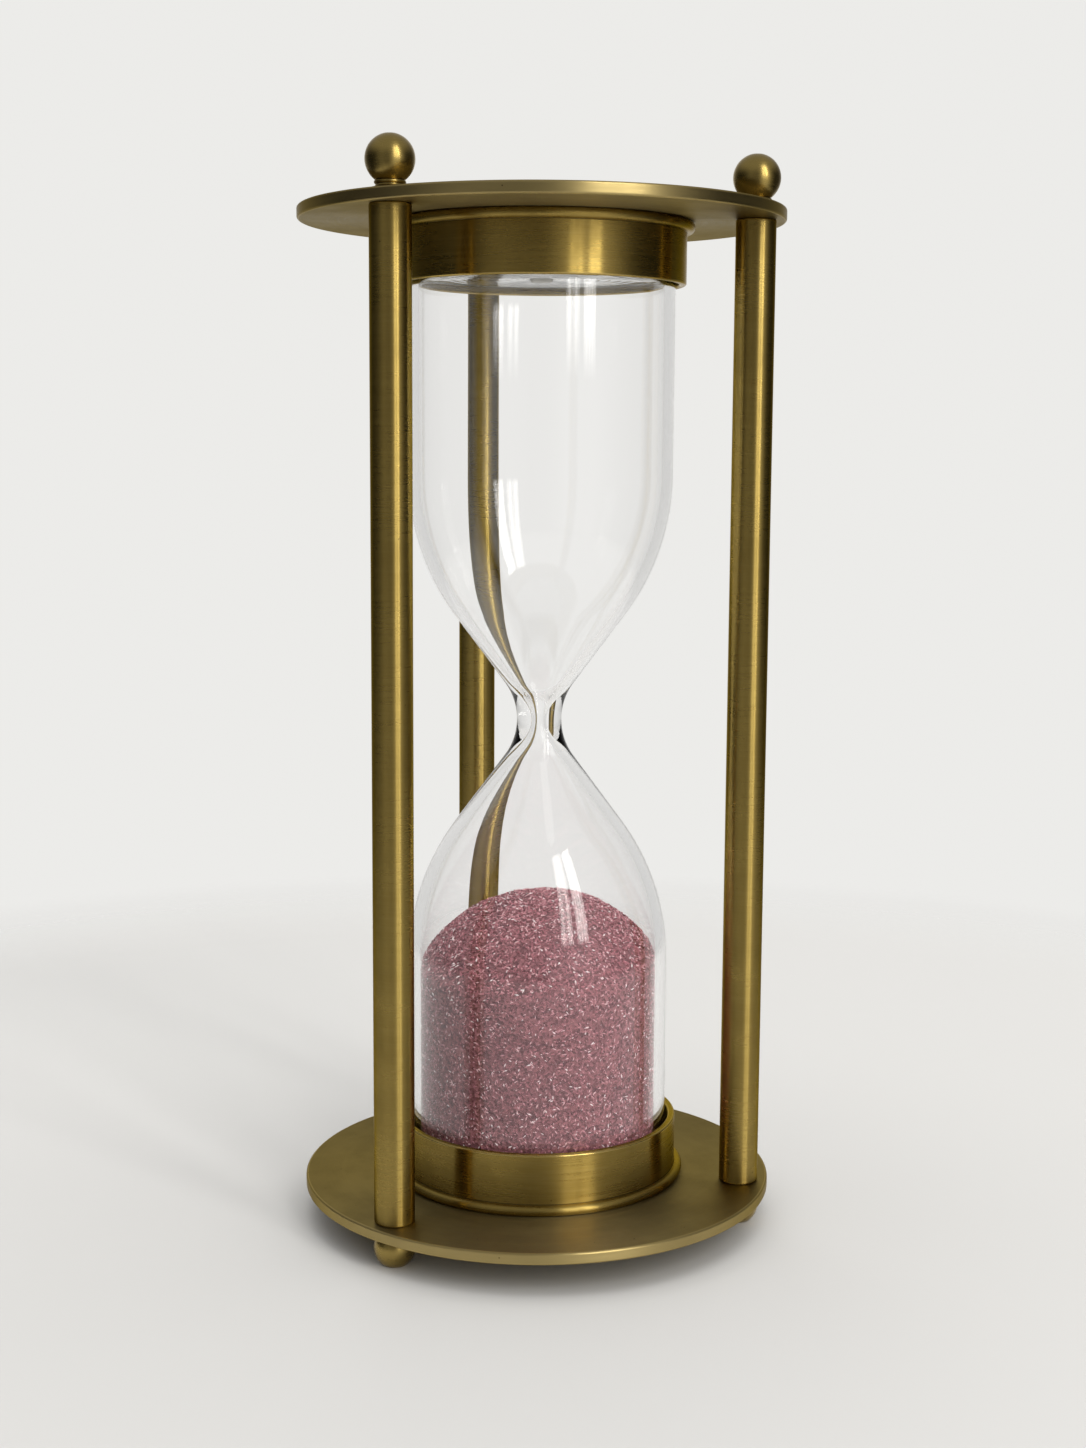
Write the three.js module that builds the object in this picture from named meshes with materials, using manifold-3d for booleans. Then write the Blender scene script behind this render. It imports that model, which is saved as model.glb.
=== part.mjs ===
// Hourglass with a brass frame: two round plates, three pillars held by ball nuts, and one blown
// glass with sand in its lower bulb.
//
// Millimetres, +Z up. The origin is on the axis, at the height of the surface the feet stand on.

import * as THREE from 'three';
import { mergeVertices } from 'three/addons/utils/BufferGeometryUtils.js';
import Module from 'manifold-3d';

const wasm = await Module();
wasm.setup();

// ---------------------------------------------------------------- driving dimensions

// Frame
const PLATE_THICKNESS = 3;
const PLATE_CHAMFER = 0.35;
const PILLAR_RADIUS = 5;
const PILLAR_CHAMFER = 0.3;
const PILLAR_GAP = 10.2; // between each pillar and the flanges of the collars
const PILLAR_EDGE_MARGIN = 2.4; // plate left outside each pillar

// Studs that hold the frame together
const STUD_RADIUS = 2;
const STUD_CLEARANCE = 0.2; // on the radius, in every hole that a stud passes or enters
const STUD_DEPTH_IN_PILLAR = 11;
const STUD_PAST_BALL_CENTRE = 1.6;
const STUD_END_GAP = 0.5; // free depth past each end of a stud

// Ball finials and their washers above the top plate
const FINIAL_BALL_RADIUS = 5.9;
const FINIAL_NECK_RADIUS = 3.55; // where the ball starts
const FINIAL_FLAT_RADIUS = 1.5;
const FINIAL_BEAD = { radius: 3.75, height: 1 };
const FINIAL_WASHER = { radius: 4.9, neckRadius: 3.4, thickness: 1.2, rim: 0.4 };

// Ball feet and their washers below the bottom plate
const FOOT_BALL_RADIUS = 5.25;
const FOOT_NECK_RADIUS = 4.5;
const FOOT_FLAT_RADIUS = 2.9;
const FOOT_WASHER = { radius: 4.6, neckRadius: 4.3, thickness: 0.9, rim: 0.45 };

// Collars that hold the ends of the glass
const COLLAR_HEIGHT = 15.4; // from the plate to the lip
const COLLAR_WALL = 1.9;
const COLLAR_FLOOR = 1.4;
const COLLAR_LIP_CHAMFER = 0.3;
const COLLAR_GLASS_CLEARANCE = 0.8;
const FLANGE_REACH = 2; // bead at the foot of the collar, beyond its wall
const FLANGE_HEIGHT = 2.6;
const BOSS_RADIUS = 6; // locates the collar in its plate
const BOSS_HEIGHT = 1.2;
const BOSS_CLEARANCE = 0.3;

// Glass
const GLASS_RADIUS = 33.7;
const GLASS_WALL = 2.7;
const WAIST_RADIUS = 5.75;
const BORE_RADIUS = 1.35;
const CONE_ANGLE = THREE.MathUtils.degToRad(36.5); // of the bulb's sides, from the axis
const NECK_ARC = 16; // outside, from the waist to the cone
const SHOULDER_ARC = 60; // outside, from the cone to the straight wall
const STRAIGHT_WALL = 46.2; // from the shoulder to the rounded corner of the end
const END_CORNER = 5;
const FILL_HOLE_RADIUS = 3.2;

// Stopper and felt cushions
const STOPPER_CLEARANCE = 0.2;
const STOPPER_TAPER = 0.4;
const STOPPER_PAST_GLASS = 0.8;
const STOPPER_HEAD = { radius: 4.6, height: 1.2 };
const STOPPER_HEAD_CLEARANCE = 0.4;
const LOWER_CUSHION_THICKNESS = 4.4;
const UPPER_CUSHION_THICKNESS = 9.8;
const CUSHION_SIDE_CLEARANCE = 0.6;

// Sand
const SAND_CLEARANCE = 0.3;
const SAND_BELOW_SHOULDER = 0.2; // edge of the heap, below the start of the shoulder
const HEAP_HEIGHT = 14.6; // from the edge to the top of the heap
const HEAP_POWER = 2.7; // 1 is a cone, 2 is a round dome, more has a flatter top

// Facets round each kind of turned piece
const PLATE_FACETS = 64;
const BULB_FACETS = 40;
const ROD_FACETS = 24;
const BALL_FACETS = 16;
const STUD_FACETS = 12;

// Straight steps along each kind of arc
const NECK_STEPS = 4;
const SHOULDER_STEPS = 5;
const CORNER_STEPS = 3;
const FLANGE_STEPS = 4;
const FLARE_STEPS = 3;
const BALL_STEPS = 8;
const BEAD_STEPS = 3;
const HEAP_STEPS = 7;

// ---------------------------------------------------------------- derived places

// Distance from a ball's centre to a flat or a neck of the given radius.
function sectionDepth(ballRadius, sectionRadius) {
  return Math.sqrt(ballRadius ** 2 - sectionRadius ** 2);
}

const STUD_HOLE_RADIUS = STUD_RADIUS + STUD_CLEARANCE;

// Balls: heights above or below the plate that they screw against
const FINIAL_NECK_HEIGHT = FINIAL_WASHER.thickness + FINIAL_BEAD.height;
const FINIAL_CENTRE =
  FINIAL_NECK_HEIGHT + sectionDepth(FINIAL_BALL_RADIUS, FINIAL_NECK_RADIUS);
const FOOT_CENTRE = FOOT_WASHER.thickness + sectionDepth(FOOT_BALL_RADIUS, FOOT_NECK_RADIUS);
const FOOT_HEIGHT = FOOT_CENTRE + sectionDepth(FOOT_BALL_RADIUS, FOOT_FLAT_RADIUS);
const FINIAL_STUD_REACH = FINIAL_CENTRE + STUD_PAST_BALL_CENTRE;
const FOOT_STUD_REACH = FOOT_CENTRE + STUD_PAST_BALL_CENTRE;

// Collars and pillars, outwards from the glass
const COLLAR_BORE = GLASS_RADIUS + COLLAR_GLASS_CLEARANCE;
const COLLAR_RADIUS = COLLAR_BORE + COLLAR_WALL;
const FLANGE_RADIUS = COLLAR_RADIUS + FLANGE_REACH;
const PILLAR_CIRCLE = FLANGE_RADIUS + PILLAR_GAP + PILLAR_RADIUS;
const PLATE_RADIUS = PILLAR_CIRCLE + PILLAR_RADIUS + PILLAR_EDGE_MARGIN;

// Glass: heights from the waist. The cone touches the neck arc and the shoulder arc.
const CONE_SLOPE = Math.tan(CONE_ANGLE);
const ARC_DROP = 1 - Math.cos(CONE_ANGLE); // radius won along an arc, per unit of its own radius
const CONE_FOOT_RADIUS = WAIST_RADIUS + NECK_ARC * (ARC_DROP - CONE_SLOPE * Math.sin(CONE_ANGLE));
const CONE_TOP_HEIGHT =
  (GLASS_RADIUS - SHOULDER_ARC * ARC_DROP - CONE_FOOT_RADIUS) / CONE_SLOPE;
const SHOULDER_HEIGHT = CONE_TOP_HEIGHT + SHOULDER_ARC * Math.sin(CONE_ANGLE);
const GLASS_HALF_LENGTH = SHOULDER_HEIGHT + STRAIGHT_WALL + END_CORNER;
const INNER_HALF_LENGTH = GLASS_HALF_LENGTH - GLASS_WALL;
const GLASS_BORE = GLASS_RADIUS - GLASS_WALL;
const INNER_CORNER = END_CORNER - GLASS_WALL;

// Heights above the surface that the feet stand on, upwards
const PLATE_BOTTOM_Z = FOOT_HEIGHT;
const LOWER_SEAT_Z = PLATE_BOTTOM_Z + PLATE_THICKNESS;
const LOWER_CUSHION_Z = LOWER_SEAT_Z + COLLAR_FLOOR;
const GLASS_BOTTOM_Z = LOWER_CUSHION_Z + LOWER_CUSHION_THICKNESS;
const WAIST_Z = GLASS_BOTTOM_Z + GLASS_HALF_LENGTH;
const GLASS_TOP_Z = WAIST_Z + GLASS_HALF_LENGTH;
const UPPER_SEAT_Z = GLASS_TOP_Z + UPPER_CUSHION_THICKNESS + COLLAR_FLOOR;
const PLATE_TOP_Z = UPPER_SEAT_Z + PLATE_THICKNESS;
const PILLAR_LENGTH = UPPER_SEAT_Z - LOWER_SEAT_Z;

// ---------------------------------------------------------------- materials

function finish(color, roughness, metalness) {
  return new THREE.MeshStandardMaterial({ color, roughness, metalness });
}

const platesBrass = finish(0x7d6a37, 0.42, 1);
const pillarBrass = finish(0x7f6830, 0.34, 1);
const collarBrass = finish(0x80692e, 0.36, 1);
const ballBrass = finish(0x857035, 0.3, 1);
const studSteel = finish(0x8d8f90, 0.45, 1);
const clearGlass = finish(0xe9eeee, 0.04, 0);
const stopperRubber = finish(0xc9c6bf, 0.7, 0);
const cushionFelt = finish(0xb9b7b2, 0.95, 0);
const sandGrains = finish(0x8d5c69, 0.85, 0);

// ---------------------------------------------------------------- outlines and solids

// Points of an arc in the (radius, height) plane, ends included.
function arc(centreRadius, centreHeight, radius, fromAngle, toAngle, steps) {
  const points = [];
  for (let i = 0; i <= steps; i += 1) {
    const angle = fromAngle + ((toAngle - fromAngle) * i) / steps;
    const r = centreRadius + radius * Math.cos(angle);
    points.push([r, centreHeight + radius * Math.sin(angle)]);
  }
  return points;
}

// A solid turned about +Z from [radius, height] points that run from the lower or inner end of
// the outline, up the outside, and back to the axis or to the first point.
function turned(points, segments) {
  const outline = points.map(([radius, height]) => new THREE.Vector2(Math.max(radius, 0), height));
  const geometry = new THREE.LatheGeometry(outline, segments);
  geometry.rotateX(Math.PI / 2);
  return geometry;
}

function toManifold(geometry) {
  const bare = geometry.clone();
  bare.deleteAttribute('normal');
  bare.deleteAttribute('uv');
  const merged = mergeVertices(bare, 1e-4);
  const triVerts = [];
  const corners = merged.index.array;
  for (let i = 0; i < corners.length; i += 3) {
    const [a, b, c] = [corners[i], corners[i + 1], corners[i + 2]];
    if (a !== b && b !== c && c !== a) {
      triVerts.push(a, b, c);
    }
  }
  return new wasm.Manifold(new wasm.Mesh({
    numProp: 3,
    vertProperties: new Float32Array(merged.attributes.position.array),
    triVerts: new Uint32Array(triVerts),
  }));
}

function fromManifold(solid) {
  const mesh = solid.getMesh();
  const geometry = new THREE.BufferGeometry();
  geometry.setAttribute('position', new THREE.BufferAttribute(mesh.vertProperties, 3));
  geometry.setIndex(new THREE.BufferAttribute(mesh.triVerts, 1));
  geometry.computeVertexNormals();
  return geometry;
}

// The first geometry with every tool geometry cut out of it.
function cut(geometry, tools) {
  let solid = toManifold(geometry);
  for (const tool of tools) {
    solid = solid.subtract(toManifold(tool));
  }
  return fromManifold(solid);
}

function cylinder(radius, fromZ, toZ, segments) {
  return turned([[0, fromZ], [radius, fromZ], [radius, toZ], [0, toZ]], segments);
}

// ---------------------------------------------------------------- the assembly

const hourglass = new THREE.Group();
hourglass.name = 'hourglass';

function place(name, geometry, material, x = 0, y = 0, z = 0) {
  const mesh = new THREE.Mesh(geometry, material);
  mesh.name = name;
  mesh.position.set(x, y, z);
  hourglass.add(mesh);
  return mesh;
}

// Pillars stand a third of a turn apart, starting on +X.
const PILLAR_NAMES = ['right', 'back', 'left'];
const stations = PILLAR_NAMES.map((name, index) => {
  const angle = (index * 2 * Math.PI) / PILLAR_NAMES.length;
  return { name, x: PILLAR_CIRCLE * Math.cos(angle), y: PILLAR_CIRCLE * Math.sin(angle) };
});

// ---------------------------------------------------------------- plates

// A chamfered disc from z = 0 up, with stud holes and a recess for the boss of its collar.
function plateGeometry(recessAtTop) {
  const c = PLATE_CHAMFER;
  const disc = turned([
    [0, 0],
    [PLATE_RADIUS - c, 0],
    [PLATE_RADIUS, c],
    [PLATE_RADIUS, PLATE_THICKNESS - c],
    [PLATE_RADIUS - c, PLATE_THICKNESS],
    [0, PLATE_THICKNESS],
  ], PLATE_FACETS);
  const tools = stations.map(({ x, y }) => {
    return cylinder(STUD_HOLE_RADIUS, -1, PLATE_THICKNESS + 1, STUD_FACETS).translate(x, y, 0);
  });
  const depth = BOSS_HEIGHT + BOSS_CLEARANCE;
  const recessZ = recessAtTop ? PLATE_THICKNESS - depth : -1;
  const recessTop = recessAtTop ? PLATE_THICKNESS + 1 : depth;
  tools.push(cylinder(BOSS_RADIUS + BOSS_CLEARANCE, recessZ, recessTop, ROD_FACETS));
  return cut(disc, tools);
}

place('bottom_plate', plateGeometry(true), platesBrass, 0, 0, PLATE_BOTTOM_Z);
place('top_plate', plateGeometry(false), platesBrass, 0, 0, UPPER_SEAT_Z);

// ---------------------------------------------------------------- pillars

// A straight rod with a tapped hole in each end.
function pillarGeometry() {
  const c = PILLAR_CHAMFER;
  const holeDepth = STUD_DEPTH_IN_PILLAR + STUD_END_GAP;
  return turned([
    [0, holeDepth],
    [STUD_HOLE_RADIUS, holeDepth],
    [STUD_HOLE_RADIUS, 0],
    [PILLAR_RADIUS - c, 0],
    [PILLAR_RADIUS, c],
    [PILLAR_RADIUS, PILLAR_LENGTH - c],
    [PILLAR_RADIUS - c, PILLAR_LENGTH],
    [STUD_HOLE_RADIUS, PILLAR_LENGTH],
    [STUD_HOLE_RADIUS, PILLAR_LENGTH - holeDepth],
    [0, PILLAR_LENGTH - holeDepth],
  ], ROD_FACETS);
}

for (const { name, x, y } of stations) {
  place(`pillar_${name}`, pillarGeometry(), pillarBrass, x, y, LOWER_SEAT_Z);
}

// ---------------------------------------------------------------- studs

for (const { name, x, y } of stations) {
  const lower = cylinder(
    STUD_RADIUS,
    PLATE_BOTTOM_Z - FOOT_STUD_REACH,
    LOWER_SEAT_Z + STUD_DEPTH_IN_PILLAR,
    STUD_FACETS,
  );
  place(`foot_stud_${name}`, lower, studSteel, x, y);
  const upper = cylinder(
    STUD_RADIUS,
    UPPER_SEAT_Z - STUD_DEPTH_IN_PILLAR,
    PLATE_TOP_Z + FINIAL_STUD_REACH,
    STUD_FACETS,
  );
  place(`finial_stud_${name}`, upper, studSteel, x, y);
}

// ---------------------------------------------------------------- washers, finials and feet

// A washer with a flat seat at z = 0, a short rim and a hollow curve up to its neck.
function washerGeometry({ radius, neckRadius, thickness, rim }) {
  const flare = [];
  for (let i = 0; i <= FLARE_STEPS; i += 1) {
    const angle = (i / FLARE_STEPS) * (Math.PI / 2);
    const r = radius - (radius - neckRadius) * Math.sin(angle);
    flare.push([r, thickness - (thickness - rim) * Math.cos(angle)]);
  }
  return turned([
    [STUD_HOLE_RADIUS, thickness],
    [STUD_HOLE_RADIUS, 0],
    [radius, 0],
    ...flare,
    [STUD_HOLE_RADIUS, thickness],
  ], BALL_FACETS);
}

// A ball nut above z = 0: stud hole and seat below, a flat on its upper pole. The points of
// neckOutline join the seat to the ball.
function ballNutGeometry({ ballRadius, neckRadius, flatRadius, centre, seat, neckOutline, reach }) {
  const holeTop = reach + STUD_END_GAP;
  const neckAngle = -Math.acos(neckRadius / ballRadius);
  const flatAngle = Math.acos(flatRadius / ballRadius);
  return turned([
    [0, holeTop],
    [STUD_HOLE_RADIUS, holeTop],
    [STUD_HOLE_RADIUS, seat],
    ...neckOutline,
    ...arc(0, centre, ballRadius, neckAngle, flatAngle, BALL_STEPS),
    [0, centre + sectionDepth(ballRadius, flatRadius)],
  ], BALL_FACETS);
}

function finialGeometry() {
  const seat = FINIAL_WASHER.thickness;
  const half = FINIAL_BEAD.height / 2;
  const beadCentre = FINIAL_BEAD.radius - half;
  return ballNutGeometry({
    ballRadius: FINIAL_BALL_RADIUS,
    neckRadius: FINIAL_NECK_RADIUS,
    flatRadius: FINIAL_FLAT_RADIUS,
    centre: FINIAL_CENTRE,
    seat,
    neckOutline: arc(beadCentre, seat + half, half, -Math.PI / 2, Math.PI / 2, BEAD_STEPS),
    reach: FINIAL_STUD_REACH,
  });
}

function footGeometry() {
  return ballNutGeometry({
    ballRadius: FOOT_BALL_RADIUS,
    neckRadius: FOOT_NECK_RADIUS,
    flatRadius: FOOT_FLAT_RADIUS,
    centre: FOOT_CENTRE,
    seat: FOOT_WASHER.thickness,
    neckOutline: [],
    reach: FOOT_STUD_REACH,
  });
}

for (const { name, x, y } of stations) {
  place(`finial_washer_${name}`, washerGeometry(FINIAL_WASHER), ballBrass, x, y, PLATE_TOP_Z);
  place(`finial_${name}`, finialGeometry(), ballBrass, x, y, PLATE_TOP_Z);
  const washer = place(
    `foot_washer_${name}`,
    washerGeometry(FOOT_WASHER),
    ballBrass,
    x,
    y,
    PLATE_BOTTOM_Z,
  );
  washer.rotation.x = Math.PI;
  const foot = place(`foot_${name}`, footGeometry(), ballBrass, x, y, PLATE_BOTTOM_Z);
  foot.rotation.x = Math.PI;
}

// ---------------------------------------------------------------- collars

// A turned cup standing on z = 0: boss, floor, bead, wall and chamfered lip.
function collarGeometry() {
  const c = COLLAR_LIP_CHAMFER;
  const half = FLANGE_HEIGHT / 2;
  return turned([
    [0, -BOSS_HEIGHT],
    [BOSS_RADIUS, -BOSS_HEIGHT],
    [BOSS_RADIUS, 0],
    ...arc(FLANGE_RADIUS - half, half, half, -Math.PI / 2, Math.PI / 2, FLANGE_STEPS),
    [COLLAR_RADIUS, FLANGE_HEIGHT],
    [COLLAR_RADIUS, COLLAR_HEIGHT - c],
    [COLLAR_RADIUS - c, COLLAR_HEIGHT],
    [COLLAR_BORE + c, COLLAR_HEIGHT],
    [COLLAR_BORE, COLLAR_HEIGHT - c],
    [COLLAR_BORE, COLLAR_FLOOR],
    [0, COLLAR_FLOOR],
  ], BULB_FACETS);
}

place('bottom_collar', collarGeometry(), collarBrass, 0, 0, LOWER_SEAT_Z);
const topCollar = place('top_collar', collarGeometry(), collarBrass, 0, 0, UPPER_SEAT_Z);
topCollar.rotation.x = Math.PI;

// ---------------------------------------------------------------- glass

// One side of a bulb from the waist to the straight wall: neck arc, cone, shoulder arc. The inset
// is measured square to the outside, and the neck arc runs from the given waist to the cone.
function bulbOutline(waistRadius, inset) {
  const coneFoot = CONE_FOOT_RADIUS - inset / Math.cos(CONE_ANGLE);
  const neckArc = (waistRadius - coneFoot) / (CONE_SLOPE * Math.sin(CONE_ANGLE) - ARC_DROP);
  const neckCentre = waistRadius + neckArc;
  const shoulderArc = SHOULDER_ARC - inset;
  const shoulderCentre = GLASS_RADIUS - SHOULDER_ARC;
  return [
    ...arc(neckCentre, 0, neckArc, Math.PI, Math.PI - CONE_ANGLE, NECK_STEPS),
    ...arc(shoulderCentre, SHOULDER_HEIGHT, shoulderArc, -CONE_ANGLE, 0, SHOULDER_STEPS),
  ];
}

// The closed end of a bulb: straight wall to rounded corner.
function bulbEnd(bulbRadius, endHeight, corner) {
  return arc(bulbRadius - corner, endHeight - corner, corner, 0, Math.PI / 2, CORNER_STEPS);
}

function mirrored(points) {
  return points.map(([r, z]) => [r, -z]).reverse();
}

// Blown glass about its waist at z = 0. The hole in the upper end is where it was filled.
function glassGeometry() {
  const outerHalf = [
    ...bulbOutline(WAIST_RADIUS, 0),
    ...bulbEnd(GLASS_RADIUS, GLASS_HALF_LENGTH, END_CORNER),
  ];
  const innerHalf = [
    ...bulbOutline(BORE_RADIUS, GLASS_WALL),
    ...bulbEnd(GLASS_BORE, INNER_HALF_LENGTH, INNER_CORNER),
  ];
  const outer = [...mirrored(outerHalf), ...outerHalf.slice(1)];
  const inner = [...mirrored(innerHalf), ...innerHalf.slice(1)].reverse();
  return turned([
    [0, -GLASS_HALF_LENGTH],
    ...outer,
    [FILL_HOLE_RADIUS, GLASS_HALF_LENGTH],
    [FILL_HOLE_RADIUS, INNER_HALF_LENGTH],
    ...inner,
    [0, -INNER_HALF_LENGTH],
  ], BULB_FACETS);
}

place('glass_bulb', glassGeometry(), clearGlass, 0, 0, WAIST_Z);

// ---------------------------------------------------------------- stopper

// A plug with a flat head that sits on the outer end of the glass.
function stopperGeometry() {
  const plugRadius = FILL_HOLE_RADIUS - STOPPER_CLEARANCE;
  const plugEnd = -GLASS_WALL - STOPPER_PAST_GLASS;
  return turned([
    [0, plugEnd],
    [plugRadius - STOPPER_TAPER, plugEnd],
    [plugRadius, -GLASS_WALL],
    [plugRadius, 0],
    [STOPPER_HEAD.radius, 0],
    [STOPPER_HEAD.radius, STOPPER_HEAD.height],
    [0, STOPPER_HEAD.height],
  ], ROD_FACETS);
}

place('glass_stopper', stopperGeometry(), stopperRubber, 0, 0, GLASS_TOP_Z);

// ---------------------------------------------------------------- cushions

// Felt discs between the ends of the glass and the floors of the collars. The upper one has a
// recess for the head of the stopper.
const CUSHION_RADIUS = COLLAR_BORE - CUSHION_SIDE_CLEARANCE;

function upperCushionGeometry() {
  const recessRadius = STOPPER_HEAD.radius + STOPPER_HEAD_CLEARANCE;
  const recessDepth = STOPPER_HEAD.height + STOPPER_HEAD_CLEARANCE;
  return turned([
    [0, recessDepth],
    [recessRadius, recessDepth],
    [recessRadius, 0],
    [CUSHION_RADIUS, 0],
    [CUSHION_RADIUS, UPPER_CUSHION_THICKNESS],
    [0, UPPER_CUSHION_THICKNESS],
  ], BULB_FACETS);
}

const lowerCushion = cylinder(CUSHION_RADIUS, 0, LOWER_CUSHION_THICKNESS, BULB_FACETS);
place('lower_cushion', lowerCushion, cushionFelt, 0, 0, LOWER_CUSHION_Z);
place('upper_cushion', upperCushionGeometry(), cushionFelt, 0, 0, GLASS_TOP_Z);

// ---------------------------------------------------------------- sand

// Sand on the inner floor of the lower bulb, up to a heap with a rounded top.
function sandGeometry() {
  const radius = GLASS_BORE - SAND_CLEARANCE;
  const edge = INNER_HALF_LENGTH - SHOULDER_HEIGHT - SAND_BELOW_SHOULDER;
  const cornerHeight = SAND_CLEARANCE + INNER_CORNER;
  const heap = [];
  for (let i = 0; i <= HEAP_STEPS; i += 1) {
    const share = 1 - i / HEAP_STEPS;
    heap.push([radius * share, edge + HEAP_HEIGHT * (1 - share ** HEAP_POWER)]);
  }
  return turned([
    [0, SAND_CLEARANCE],
    ...arc(radius - INNER_CORNER, cornerHeight, INNER_CORNER, -Math.PI / 2, 0, CORNER_STEPS),
    ...heap,
  ], BULB_FACETS);
}

place('sand', sandGeometry(), sandGrains, 0, 0, WAIST_Z - INNER_HALF_LENGTH);

export default hourglass;
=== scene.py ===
"""Hourglass: the looks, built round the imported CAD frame. Metres, +Z up, the glass on the Z axis."""

import math
import random

import bpy
from mathutils import Matrix, Vector, noise


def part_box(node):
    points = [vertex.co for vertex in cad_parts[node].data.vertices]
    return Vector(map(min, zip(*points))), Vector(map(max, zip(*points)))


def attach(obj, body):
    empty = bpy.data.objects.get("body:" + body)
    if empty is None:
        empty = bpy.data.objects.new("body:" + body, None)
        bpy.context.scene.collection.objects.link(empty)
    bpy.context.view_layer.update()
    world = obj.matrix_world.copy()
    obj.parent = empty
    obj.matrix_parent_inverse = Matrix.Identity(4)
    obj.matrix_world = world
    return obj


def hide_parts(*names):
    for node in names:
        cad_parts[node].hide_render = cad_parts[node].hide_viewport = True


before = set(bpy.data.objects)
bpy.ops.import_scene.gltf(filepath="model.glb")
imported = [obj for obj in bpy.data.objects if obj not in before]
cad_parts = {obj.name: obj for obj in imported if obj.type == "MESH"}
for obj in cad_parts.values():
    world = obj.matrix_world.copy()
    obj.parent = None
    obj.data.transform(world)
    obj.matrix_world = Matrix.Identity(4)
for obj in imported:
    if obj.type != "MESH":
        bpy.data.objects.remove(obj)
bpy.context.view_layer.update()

MM = 0.001
random.seed(7)

# ------------------------------------------------------------------ sizes that the frame gives


def radius_of(node):
    low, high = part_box(node)
    return (high.x - low.x) / 2


def centre_of(node):
    """Where the node's own axis crosses the floor, as x and y."""
    low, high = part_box(node)
    return (low.x + high.x) / 2, (low.y + high.y) / 2


STATIONS = ("right", "back", "left")
PLATE_RADIUS = radius_of("bottom_plate")
PLATE_BOTTOM, LOWER_SEAT = (corner.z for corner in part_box("bottom_plate"))
UPPER_SEAT, PLATE_TOP = (corner.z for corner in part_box("top_plate"))
PILLAR_RADIUS = radius_of("pillar_right")
FLANGE_RADIUS = radius_of("bottom_collar")
COLLAR_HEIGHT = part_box("bottom_collar")[1].z - LOWER_SEAT
GLASS_RADIUS = radius_of("glass_bulb")
GLASS_BOTTOM, GLASS_TOP = (corner.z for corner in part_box("glass_bulb"))
GLASS_HALF_LENGTH = (GLASS_TOP - GLASS_BOTTOM) / 2
WAIST = (GLASS_TOP + GLASS_BOTTOM) / 2
SAND_RADIUS = radius_of("sand")
SAND_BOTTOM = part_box("sand")[0].z
CUSHION_RADIUS = radius_of("lower_cushion")
FINIAL_BALL_RADIUS = radius_of("finial_right")
FOOT_BALL_RADIUS = radius_of("foot_right")

# ------------------------------------------------------------------ sizes repeated from the CAD source

PLATE_CHAMFER = 0.35 * MM
PILLAR_CHAMFER = 0.3 * MM
STUD_RADIUS = 2 * MM
STUD_HOLE_RADIUS = 2.2 * MM
STUD_HOLE_DEPTH = 11.5 * MM
STUD_HOLE_PAST_STUD = 0.5 * MM
FINIAL_NECK_RADIUS = 3.55 * MM
FINIAL_FLAT_RADIUS = 1.5 * MM
FINIAL_BEAD_RADIUS = 3.75 * MM
FINIAL_BEAD_HEIGHT = 1 * MM
FINIAL_WASHER = {"radius": 4.9 * MM, "neck": 3.4 * MM, "height": 1.2 * MM, "rim": 0.4 * MM}
FOOT_NECK_RADIUS = 4.5 * MM
FOOT_FLAT_RADIUS = 2.9 * MM
FOOT_WASHER = {"radius": 4.6 * MM, "neck": 4.3 * MM, "height": 0.9 * MM, "rim": 0.45 * MM}
COLLAR_WALL = 1.9 * MM
COLLAR_FLOOR = 1.4 * MM
FLANGE_REACH = 2 * MM
FLANGE_HEIGHT = 2.6 * MM
BOSS_RADIUS = 6 * MM
BOSS_HEIGHT = 1.2 * MM
BOSS_CLEARANCE = 0.3 * MM
GLASS_WALL = 2.7 * MM
WAIST_RADIUS = 5.75 * MM
BORE_RADIUS = 1.35 * MM
CONE_ANGLE = math.radians(36.5)
NECK_ARC = 16 * MM
SHOULDER_ARC = 60 * MM
END_CORNER = 5 * MM
FILL_HOLE_RADIUS = 3.2 * MM
STOPPER_HEAD_RADIUS = 4.6 * MM
STOPPER_HEAD_HEIGHT = 1.2 * MM
STOPPER_CLEARANCE = 0.2 * MM
STOPPER_HEAD_CLEARANCE = 0.4 * MM
STOPPER_PAST_GLASS = 0.8 * MM
STOPPER_TAPER = 0.4 * MM
SAND_CORNER = 2.3 * MM

COLLAR_RADIUS = FLANGE_RADIUS - FLANGE_REACH
COLLAR_BORE = COLLAR_RADIUS - COLLAR_WALL
GLASS_BORE = GLASS_RADIUS - GLASS_WALL
INNER_HALF_LENGTH = GLASS_HALF_LENGTH - GLASS_WALL
INNER_CORNER = END_CORNER - GLASS_WALL

# ------------------------------------------------------------------ finish of the shapes

# How far sharp corners are rounded
PLATE_EDGE = 0.22 * MM
FINE_EDGE = 0.15 * MM
STOPPER_EDGE = 0.3 * MM
CUSHION_EDGE = 1.1 * MM

COLLAR_LIP = 0.3 * MM
# How far the plate's rim is lightened and smoothed: partly real polish, partly a painted sheen.
PLATE_RIM_WEAR_AND_SHEEN = 0.8
THREAD_PITCH = 0.7 * MM
THREAD_DEPTH = 0.35 * MM
FELT_DENT = 0.12 * MM
FELT_DENT_SPACING = 1.6 * MM

# Blown glass: slow waves on its walls and rings on the insides of its ends
GLASS_WAVE = 0.05 * MM
GLASS_WAVE_SPACING = 22 * MM
GLASS_WAVE_STRETCH = 0.6  # below 1 the waves are longer up and down than round the glass
GLASS_WAVE_FADE = 0.3  # the waves vanish where the radius is this share of the waist's
GLASS_RING = 0.2 * MM
GLASS_RING_SPACING = 2.75 * MM
GLASS_RING_FADE = 3 * MM

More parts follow.
